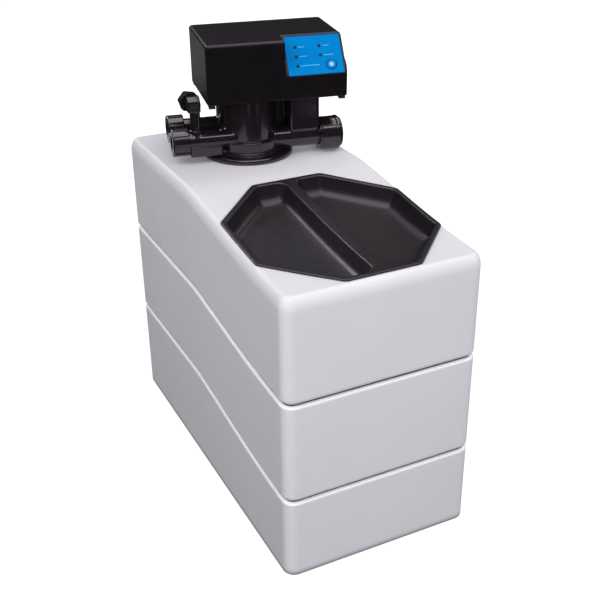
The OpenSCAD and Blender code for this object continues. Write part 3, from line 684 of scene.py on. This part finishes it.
for side in (1, -1):
    stack = []
    for d, z in pocket_prof:
        p = poly_ring(POCKET, d, [max(11 - d, 3.0), max(9 - d, 3.0), max(9 - d, 3.0), max(9 - d, 3.0), max(9 - d, 3.0), max(11 - d, 3.0)],
                      9, [6, 14, 16, 14, 6, 34])
        if side < 0:
            p = p[::-1] * np.array([-1.0, 1.0])
        stack.append(lift(p + np.array([0, LID_Y]), CAB_H + z))
    mouth, floor_ring = lid.stack(stack)
    rings.append(mouth)
    lid.fill(floor_ring, [], lambda x, y: CAB_H - 17.0 - fall(y), 9.0)
lid.fill(rim_in, rings, lambda x, y: CAB_H + 2.2 - fall(y), 5.0)
tub = [(4.4, 0.25), (4.5, -0.8), (6.3, -13.5)] + bezier((6.4, -14.2), (7.2, -19.5), (13.0, -19.5), 7)[1:] + [(14.5, -19.5)]
tub_top, tub_low = None, None
ids = [under] + [lid.ring(oct_ring(d, CAB_H + z, 9.0, 3.0)) for d, z in tub[1:]]
for a, b in zip(ids, ids[1:]):
    lid.loft(a, b)
GRIP = [(3.6, LID_Y - 88), (3.6, LID_Y + 88), (-3.6, LID_Y + 88), (-3.6, LID_Y - 88)]
grip = [lid.ring(lift(poly_ring(GRIP, d, r, 5, [40, 2, 40, 2]), CAB_H + z)) for d, r, z in
        [(-1.0, 4.0, -19.5), (-0.3, 3.3, -19.2), (0, 3.0, -18.5), (0, 3.0, -2.2), (0.5, 2.5, -1.4), (1.4, 1.6, -1.1)]]
for a, b in zip(grip, grip[1:]):
    lid.loft(a, b)
lid.fill(ids[-1], [grip[0]], lambda x, y: CAB_H - 19.5 - fall(y), 12.0)
lid.fill(grip[-1], [], lambda x, y: CAB_H - 1.1 - fall(y), None)
lid_obj = make("tray_lid", lid.v, lid.f, "lid", "lid_black", ["salt_lid"])

# ======================================================================================
# Valve
# ======================================================================================
TURN = math.radians(-11.6)
TURN_M = np.array([[math.cos(TURN), -math.sin(TURN), 0], [math.sin(TURN), math.cos(TURN), 0], [0, 0, 1.0]])


def at_valve(p):
    return p @ TURN_M.T + np.array([0, VALVE_Y, CAB_H]), TURN_M


P1Y, P1Z, P1E = -19.0, 25.0, -90.0
P2Y, P2Z, P2E = 33.0, 25.5, -88.0
MY, MZ = -19.0, 21.0
EX, EZ, LEG = -65.0, 66.8, math.radians(10)


def valve_field(p):
    z = p[:, 2]
    f = both(s_cyl(p, 2, (0, 0), 53.2, -8.0, 6.6, 3.4), 0.3 - z, 0.3)
    f = join(f, s_cyl(p, 2, (0, 0), 42.0, 3.0, 9.2, 0.7), 0.8)
    f = join(f, s_cyl(p, 2, (0, 0), 39.0, 3.0, 21.5, 1.3), 0.8)
    f = join(f, s_cyl(p, 2, (0, 0), 34.3, 8.0, 80.0, 0.5), 1.5)
    f = join(f, s_cyl(p, 2, (0, 0), 31.7, -21.0, 3.0, 1.0), 0.6)
    f = join(f, join(s_cyl(p, 0, (P1Y, P1Z), 11.0, P1E, -40.0, 0.6), s_cyl(p, 0, (P1Y, P1Z), 11.0, -70.0, -16.0, 4.5)), 1.6)
    f = join(f, s_cyl(p, 0, (P2Y, P2Z), 11.0, P2E, 0.0, 0.6), 4.0)
    f = join(f, s_cyl(p, 2, (EX, P1Y), 7.5, P1Z, P1Z + 13.5, 0.9), 2.4)
    f = join(f, s_box(p, (-60, P1Y - 4.5, 6.5), (-20, P1Y + 4.5, 13), 1.2), 1.2)
    f = join(f, s_box(p, (-73.6, P1Y - 12, 8.8), (-36.5, P1Y + 4.5, 20.6), 1.2), 0.5)
    f = join(f, join(s_cyl(p, 0, (MY, MZ), 13.0, 23.0, 80.0, 4.5), s_cyl(p, 0, (MY, MZ), 13.0, 60.0, 93.5, 0.6)), 1.6)
    f = join(f, s_box(p, (44.5, -33, 28), (80.5, 6, 90), 4.6), 1.0)
    f = join(f, s_box(p, (20, -6, 24), (50, 8, 70), 2.0), 2.0)
    f = join(f, s_box(p, (-30, 20, 25.5), (-8, 44, 90), 3.6), 3.0)
    f = join(f, s_cyl(p, 1, (8, 45), 10.0, 15.0, 44.0, 1.0), 3.0)
    f = both(f, z - 74.0, 0.8)
    f = cut(f, s_cyl(p, 2, (0, 0), 20.0, 11.0, 90.0), 0.6)
    f = cut(f, s_cyl(p, 2, (0, 0), 13.6, -40.0, 7.0), 0.5)
    f = cut(f, s_cyl(p, 2, (0, 0), 9.0, 4.0, 14.0), 0.3)
    for i in range(4):
        a = math.radians(45 + 90 * i)
        f = cut(f, s_cyl(p, 2, (22.5 * math.cos(a), 22.5 * math.sin(a)), 4.0, -40.0, 14.0), 0.4)
    f = cut(f, s_cyl(p, 0, (P1Y, P1Z), 9.0, P1E - 20, P1E + 18), 0.7)
    f = cut(f, s_cyl(p, 0, (P1Y, P1Z), 6.0, P1E + 15, -10), 0.3)
    f = cut(f, s_cyl(p, 0, (P2Y, P2Z), 9.0, P2E - 20, P2E + 18), 0.7)
    f = cut(f, s_cyl(p, 0, (P2Y, P2Z), 6.5, P2E + 15, -12), 0.3)
    f = cut(f, s_cyl(p, 1, (-12, P2Z), 6.0, 10.0, P2Y), 0.3)
    f = cut(f, s_cyl(p, 2, (EX, P1Y), 5.55, P1Z + 8, P1Z + 40), 0.5)
    f = cut(f, s_cyl(p, 2, (EX, P1Y), 2.0, P1Z, P1Z + 12), 0.2)
    f = cut(f, s_cyl(p, 0, (MY, MZ), 10.5, 45.0, 140.0), 0.5)
    f = cut(f, s_cyl(p, 0, (-14, MZ), 6.0, 10.0, 47.0), 0.3)
    f = cut(f, s_cyl(p, 1, (62, 50), 6.1, -20.0, 30.0), 0.5)
    f = cut(f, s_cyl(p, 2, (62, -16), 3.0, MZ, 50.0), 0.3)
    f = cut(f, s_cyl(p, 1, (8, 45), 6.6, 32.0, 70.0), 0.5)
    f = cut(f, s_cyl(p, 1, (8, 45), 4.0, 10.0, 34.0), 0.3)
    return f


moulded("valve_body_moulding", valve_field, (-93, -55, -24), (97, 56, 77), 1.1, at_valve, "cabinet", "valve_black", ["valve_body"], 0.55)


def nut_field(p):
    f = s_cyl(p, 0, (0, 0), 16.4, 0.0, 20.0, 1.5)
    r = np.hypot(p[:, 1], p[:, 2])
    s = math.radians(36)
    a = np.mod(np.arctan2(p[:, 2], p[:, 1]) + 1.5 * s, s) - s / 2
    groove = np.maximum(np.maximum(np.abs(r * np.sin(a)) - 1.25, 14.8 - r * np.cos(a)), 2.4 - p[:, 0])
    f = cut(f, groove, 0.8)
    f = cut(f, s_cyl(p, 0, (0, 0), 9.6, -20.0, 3.0), 1.0)
    return cut(f, s_cyl(p, 0, (0, 0), 11.3, 2.0, 60.0), 0.4)


def at_point(x, y, z):
    def place(p):
        return at_valve(p + np.array([x, y, z]))
    return place


moulded("front_union_nut", nut_field, (-2, -19, -19), (22, 19, 19), 0.7, at_point(P1E - 4, P1Y, P1Z), "cabinet", "valve_black", ["front_port_nut"], 0.6)
moulded("back_union_nut", nut_field, (-2, -19, -19), (22, 19, 19), 0.7, at_point(P2E - 4, P2Y, P2Z), "cabinet", "valve_black", ["back_port_nut"], 0.6)


def leg(p):
    """Axes of the elbow's leg: across it, along it, up."""
    c, n = math.cos(LEG), math.sin(LEG)
    return np.stack([p[:, 0] * c + p[:, 1] * n, -p[:, 0] * n + p[:, 1] * c, p[:, 2] - EZ], 1)


def elbow_field(p):
    q = leg(p)
    f = s_cyl(p, 2, (0, 0), 5.5, P1Z + 8.2, EZ, 0.6)
    f = join(f, s_cyl(p, 2, (0, 0), 6.0, P1Z + 13.8, EZ, 0.5), 0.3)
    f = join(f, s_box(p, (-9, -7.4, EZ - 6.9), (6.4, 6, EZ + 6.6), 2.0), 0.6)
    shoulder = (p[:, 2] - EZ - 6.6) * 0.6727 - (p[:, 1] + 7.0) * 0.74
    f = join(f, both(s_box(p, (-8.6, -7.2, EZ - 3), (6.0, 6, EZ + 11), 1.4), shoulder, 0.9), 0.8)
    f = join(f, s_cyl(q, 1, (0, 0), 8.2, 0.0, 14.5, 0.8), 1.2)
    f = join(f, s_cyl(q, 1, (0, 0), 6.6, 8.0, 23.3, 0.5), 0.3)
    f = cut(f, s_cyl(q, 1, (0, 0), 4.85, 11.3, 40.0), 0.5)
    f = cut(f, s_cyl(q, 1, (0, 0), 3.4, -1.0, 14.0), 0.2)
    return cut(f, s_cyl(p, 2, (0, 0), 3.0, P1Z, EZ + 1.5), 0.3)


moulded("brine_elbow_moulding", elbow_field, (-16, -10, 30), (10, 27, 81), 0.6, at_point(EX, P1Y, 0), "elbow", "valve_black", ["brine_elbow"], 0.55)


def elbow_nut_field(p):
    q = leg(p)
    x, t, z = q[:, 0], q[:, 1], q[:, 2]
    hexa = np.full(len(p), -1e9)
    for k in range(3):
        a = math.radians(18.2 + 60 * k)
        hexa = np.maximum(hexa, np.abs(x * math.cos(a) + z * math.sin(a)) - 10.65)
    r = np.hypot(x, z)
    f = both(hexa, np.abs(t - 20.15) - 5.35, 0.7)
    f = both(f, (r - 11.5 - 1.2 * (25.5 - t)) * 0.64, 0.4)
    f = both(f, (r - 11.9 - 1.2 * (t - 14.8)) * 0.64, 0.4)
    f = cut(f, s_cyl(q, 1, (0, 0), 6.9, -10.0, 23.5), 0.3)
    return cut(f, s_cyl(q, 1, (0, 0), 5.3, 0.0, 60.0), 0.6)


moulded("brine_elbow_hex_nut", elbow_nut_field, (-20, 8, EZ - 15), (14, 30, EZ + 15), 0.6, at_point(EX, P1Y, 0), "elbow", "valve_black", ["brine_elbow_nut"], 0.55)


def cap_field(p):
    f = s_cyl(p, 0, (0, 0), 19.5, 83.2, 106.2, 1.3)
    f = join(f, s_cyl(p, 0, (0, 0), 18.0, 81.0, 95.0, 0.8), 0.9)
    f = join(f, s_cyl(p, 0, (0, 0), 20.0, 101.6, 105.4, 0.9), 0.8)
    f = join(f, s_cyl(p, 0, (0, 0), 17.5, 92.0, 108.8, 1.5), 0.8)
    f = cut(f, s_cyl(p, 0, (0, 0), 13.5, 108.0, 120.0), 0.6)
    ring = cut(s_cyl(p, 0, (0, 0), 13.3, 60.0, 95.4), s_cyl(p, 0, (0, 0), 10.2, 88.0, 130.0), 0.0)
    return cut(f, ring, 0.4)


moulded("screw_cap", cap_field, (78, -23, -23), (111, 23, 23), 0.8, at_point(0, MY, MZ), "cabinet", "valve_black", ["meter_cap"], 0.55)

# ======================================================================================
# Controller
# ======================================================================================
CX0, CX1, CY0, CY1, CZ0, CZ1 = -54.0, 108.0, -50.0, 66.0, 73.5, 140.6
KX, KY, KZ = 38.0, -52.0, 99.5
LEAN = math.atan2(41, 30)
KC, KS = math.cos(LEAN), math.sin(LEAN)
KEY_W, KEY_L = 69.0, 50.8
LEDS = [(13.2, 35), (13.2, 23.7), (13.2, 12.5), (41.6, 35), (41.6, 23.7)]
BUTTON = (52.7, 12.1)


def key_coords(p):
    q = p - np.array([KX, KY, KZ])
    return np.stack([q[:, 0], q[:, 1] * KC + q[:, 2] * KS, -q[:, 1] * KS + q[:, 2] * KC], 1)


def cover_field(p):
    k = key_coords(p)
    box = s_box(p, (CX0, CY0, CZ0 - 30), (CX1, CY1, CZ1), 4.0)
    # slanted seat of the keypad, cut out of the front right corner
    seat = both(-k[:, 2], -2.0 - k[:, 0], 0.6)
    body = cut(box, seat, 1.3)
    # chin that swells towards the lower edge of the seat
    slope = (p[:, 1] - (CY0 + 0.4)) * 0.9977 + (p[:, 2] - CZ0) * 0.0825
    chin = both(-slope - 0.15, k[:, 2] + 0.0, 1.4)
    chin = both(chin, s_box(p, (KX - 3.0, CY0 - 10, CZ0 - 30), (CX1 - 0.05, CY0 + 8, KZ + 30), 3.4), 2.0)
    body = join(body, chin, 3.2)
    body = both(body, CZ0 - p[:, 2], 0.5)
    inner = s_box(p, (CX0 + 2.8, CY0 + 2.8, CZ0 - 40), (CX1 - 2.8, CY1 - 2.8, CZ1 - 2.8), 1.0)
    wall = both(-k[:, 2] - 3.0, -4.5 - k[:, 0], 0.4)
    body = cut(body, cut(inner, wall, 0.5), 0.4)
    for u, v in LEDS:
        body = cut(body, s_cyl(k, 2, (u, v), 1.9, -6, 3), 0.1)
    body = cut(body, s_cyl(k, 2, BUTTON, 6.4, -6, 3), 0.2)
    return cut(body, s_cyl(p, 1, (66, 88), 5.0, CY1 - 6, CY1 + 3), 0.3)


moulded("controller_cover_moulding", cover_field, (CX0 - 3, CY0 - 6, CZ0 - 3), (CX1 + 3, CY1 + 3, CZ1 + 3), 1.25, at_valve, "cabinet", "cover_black", ["controller_cover"], 0.35)

KEY_M = np.array([[1, 0, 0], [0, KC, -KS], [0, KS, KC]])


def at_keypad(p):
    return at_valve(np.asarray(p, float) @ KEY_M.T + np.array([KX, KY, KZ]))[0]


pad = Shell()
PAD = [(1.0, 0.8), (KEY_W - 1.5, 0.8), (KEY_W - 1.5, KEY_L - 2.2), (1.0, KEY_L - 2.2)]


def flat(p, w):
    return np.column_stack([p[:, 0], p[:, 1], np.full(len(p), w)])


pad_rings = [(0.3, 0.05), (0.0, 0.25), (0.0, 0.55), (0.1, 0.75), (0.3, 0.85)]
p_low, p_top = pad.stack([flat(poly_ring(PAD, d, 2.0 - d, 6, 6), w) for d, w in pad_rings], mat=1)
holes_top, holes_low = [], []
for (u, v), r, n in [(q, 1.7, 20) for q in LEDS] + [(BUTTON, 6.3, 48)]:
    a, b = pad.stack([flat(circle_ring(u, v, rr, n), w) for rr, w in [(r, 0.05), (r, 0.65), (r + 0.1, 0.8), (r + 0.25, 0.85)]], mat=1)
    holes_low.append(a)
    holes_top.append(b)


def bar(u0, u1, v0, v1, r):
    return pad.ring(flat(poly_ring([(u0, v0), (u1, v0), (u1, v1), (u0, v1)], 0, r, 4, 1), 0.85))


patches = []
for (u, v), ln in zip(LEDS, (7.5, 9.0, 22.0, 8.0, 11.5)):
    patches.append((bar(u + 3.6, u + 3.6 + ln, v - 0.35, v + 0.35, 0.3), 2))
edge_in = pad.ring(flat(poly_ring(PAD, 1.1, 1.2, 6, 6), 0.85))
line_in = pad.ring(flat(poly_ring(PAD, 1.7, 0.9, 6, 6), 0.85))
pad.loft(p_top, edge_in, 1)
pad.loft(edge_in, line_in, 0)
pad.fill(line_in, holes_top, lambda x, y: 0 * x + 0.85, None, patches=patches)
pad.fill(p_low, holes_low, lambda x, y: 0 * x + 0.05, None, flip=True)
make("keypad_film", at_keypad(pad.v), pad.f, "cabinet", ["keypad_blue", "keypad_edge", "keypad_line"], ["keypad_overlay"], face_mats=pad.m, angle=30)


def lathe(shell, profile, c, n, mats=None):
    """Turned shape about the keypad's normal at c, closed at both ends."""
    rings_ = [flat(circle_ring(c[0], c[1], r, n), w) for r, w in profile]
    ids_ = [shell.ring(r) for r in rings_]
    for i, (a, b) in enumerate(zip(ids_, ids_[1:])):
        shell.loft(a, b, mats[i] if mats else 0)
    for ring_, w, m in ((ids_[0], profile[0][1], 0), (ids_[-1], profile[-1][1], mats[-1] if mats else 0)):
        c_id = shell.ring([(c[0], c[1], w)])[0]
        for i in range(n):
            shell.f.append((ring_[i], ring_[(i + 1) % n], c_id))
            shell.m.append(m)


btn = Shell()
lathe(btn, [(7.4, -5.0), (7.5, -4.9), (7.5, -3.5), (7.4, -3.4), (6.0, -3.4), (6.0, 0.9), (5.93, 1.18), (5.72, 1.38), (5.4, 1.45), (4.75, 1.42),
            (4.45, 1.3), (4.2, 1.2), (3.3, 1.16), (2.7, 1.14), (0.6, 1.12)], BUTTON, 64, [0] * 8 + [2, 2, 2, 2, 2, 1, 1])
make("round_button", at_keypad(btn.v), btn.f, "button", ["button_blue", "button_pale", "keypad_blue"], ["push_button"], face_mats=btn.m, angle=35, weighted=False)

led = Shell()
for q in LEDS:
    lathe(led, [(1.45, -9.5), (1.5, -9.4), (1.5, 0.35), (1.42, 0.55), (1.2, 0.74), (0.85, 0.85), (0.4, 0.9)], q, 24)
make("status_lights", at_keypad(led.v), led.f, "cabinet", "led_lens", ["status_leds"], angle=50, weighted=False)

# ======================================================================================
# Materials of the CAD pieces that stay
# ======================================================================================
FINISH = {
    "port_washers": "rubber", "cap_o_ring": "rubber", "meter_cage": "natural_plastic", "meter_rotor": "white_plastic",
    "injector_nozzle": "natural_plastic", "injector_cap": "valve_black", "drain_spigot": "valve_black",
    "seal_spacers": "natural_plastic", "piston_seals": "rubber", "piston": "valve_black", "piston_rod": "steel",
    "end_plug": "valve_black", "rod_seal": "rubber", "controller_base": "cover_black", "circuit_board": "board_green",
    "push_switch": "rubber", "power_socket": "rubber", "drive_gear": "natural_plastic", "motor_pinion": "steel",
    "motor": "steel", "drive_bracket": "steel", "bracket_screws": "steel", "resin_vessel": "vessel_shell",
    "vessel_foot": "valve_black", "riser_tube": "natural_plastic", "bottom_strainer": "natural_plastic",
    "top_strainer": "natural_plastic", "neck_o_ring": "rubber", "brine_well": "white_plastic", "brine_well_cap": "white_plastic",
    "safety_valve": "natural_plastic", "float": "white_plastic", "float_rod": "white_plastic", "pickup_tube": "natural_plastic",
    "air_check_cage": "natural_plastic", "air_check_ball": "rubber", "salt_platform": "natural_plastic",
    "overflow_spigot": "valve_black", "overflow_nut": "valve_black",
}
for n, o in NODES.items():
    if o.hide_render:
        continue
    m = MAT[FINISH[n]]
    if not o.material_slots:
        o.data.materials.append(m)
    for s in o.material_slots:
        s.material = m

# ======================================================================================
# Floor, light and camera
# ======================================================================================
bm = bmesh.new()
bmesh.ops.create_grid(bm, x_segments=24, y_segments=24, size=9.0)
fm = bpy.data.meshes.new("floor")
bm.to_mesh(fm)
bm.free()
floor = bpy.data.objects.new("floor", fm)
floor.location = (0, 0, -0.0004)
SCENE.collection.objects.link(floor)
pale = plastic("floor_pale", (0.22, 0.22, 0.22), (0.23, 0.23, 0.23), (0.75, 0.85), 3.0, (300.0, 0.02, 0.00005), None, 0.1)
# lit from below like a light table, so that it stays white out to the horizon
nt = pale.node_tree
far = nt.nodes.new("ShaderNodeVectorMath")
far.operation = "LENGTH"
nt.links.new(nt.nodes.new("ShaderNodeTexCoord").outputs["Object"], far.inputs[0])
nt.links.new(remap(nt, far.outputs["Value"], 0.45, 1.6, 0.90, 1.03), nt.nodes["Principled BSDF"].inputs["Emission Strength"])
nt.nodes["Principled BSDF"].inputs["Emission Color"].default_value = (1, 1, 1, 1)
fm.materials.append(pale)
floor.visible_glossy = False
floor.visible_diffuse = False


def panel(name, at, aim, size, power, kind="both", colour=(1, 1, 1)):
    """A soft box. kind is what it gives: diffuse light, glossy reflections, or both."""
    l = bpy.data.lights.new(name, "AREA")
    l.shape = "RECTANGLE"
    l.size, l.size_y = size
    l.energy = power
    l.color = colour
    o = bpy.data.objects.new(name, l)
    o.location = at
    d = Vector(aim) - Vector(at)
    o.rotation_mode = "QUATERNION"
    o.rotation_quaternion = d.to_track_quat("-Z", "Y")
    o.visible_camera = False
    o.visible_diffuse = kind != "glossy"
    o.visible_glossy = kind != "diffuse"
    SCENE.collection.objects.link(o)
    return o


panel("front", (-0.3, -2.4, 1.1), (0, 0, 0.25), (1.6, 1.0), 41.0, "diffuse")
panel("top_front", (-0.1, -1.3, 2.2), (0, 0, 0.3), (1.8, 1.0), 12.0, "diffuse")
panel("left", (-2.3, 0.3, 1.2), (0, 0, 0.25), (1.6, 1.2), 13.5, "diffuse")
panel("top_left", (-1.6, -0.25, 1.9), (0, 0.1, 0.3), (1.2, 1.8), 21.5, "diffuse")
panel("top_right", (1.6, -0.2, 1.9), (0, 0.1, 0.3), (1.2, 1.8), 13.0, "diffuse")
panel("right", (2.4, 0.2, 1.0), (0, 0, 0.25), (1.4, 1.2), 14.0, "diffuse")
panel("back", (0.4, 2.4, 0.8), (0, 0.1, 0.3), (1.8, 0.9), 25.0, "diffuse")
panel("overhead", (0.1, 0.2, 2.4), (0.1, 0.2, 0), (2.4, 2.4), 48.0, "glossy")
panel("low_back", (-0.25, 1.7, 0.12), (-0.05, 0.1, 0.45), (0.9, 0.22), 0.15, "glossy")
panel("back_left", (-0.65, 1.95, 1.75), (0, -0.1, 0.35), (1.0, 0.8), 26.0, "glossy")
panel("strip", (0.0, -0.88, 1.52), (-0.05, 0.1, 0.385), (1.5, 0.14), 4.0, "glossy")
panel("front_top_left", (-0.6, -0.9, 2.2), (-0.05, 0.05, 0.38), (1.4, 1.0), 2.2, "glossy")
panel("right_gloss", (1.9, 0.8, 1.3), (-0.05, -0.1, 0.35), (0.8, 0.8), 3.0, "glossy")

world = bpy.data.worlds.new("studio")
SCENE.world = world
world.use_nodes = True
world.node_tree.nodes["Background"].inputs["Color"].default_value = (1, 1, 1, 1)
world.node_tree.nodes["Background"].inputs["Strength"].default_value = 0.035
SCENE.view_settings.view_transform = "Standard"
SCENE.view_settings.look = "None"

cam_data = bpy.data.cameras.new("camera")
cam = bpy.data.objects.new("camera", cam_data)
SCENE.collection.objects.link(cam)
SCENE.camera = cam
cam_data.sensor_width = 36.0
cam_data.lens = 984.44 / 600.0 * 36.0
cam_data.clip_start, cam_data.clip_end = 0.05, 60.0
yaw, pitch, roll = math.radians(26.0125), math.radians(27.589), math.radians(-0.648)
fwd = Vector((math.sin(yaw) * math.cos(pitch), math.cos(yaw) * math.cos(pitch), -math.sin(pitch)))
right = Vector((math.cos(yaw), -math.sin(yaw), 0))
up = right.cross(fwd)
r2 = right * math.cos(roll) + up * math.sin(roll)
u2 = up * math.cos(roll) - right * math.sin(roll)
cam.matrix_world = Matrix(((r2.x, u2.x, -fwd.x, -0.4443), (r2.y, u2.y, -fwd.y, -0.9430), (r2.z, u2.z, -fwd.z, 0.7454), (0, 0, 0, 1)))
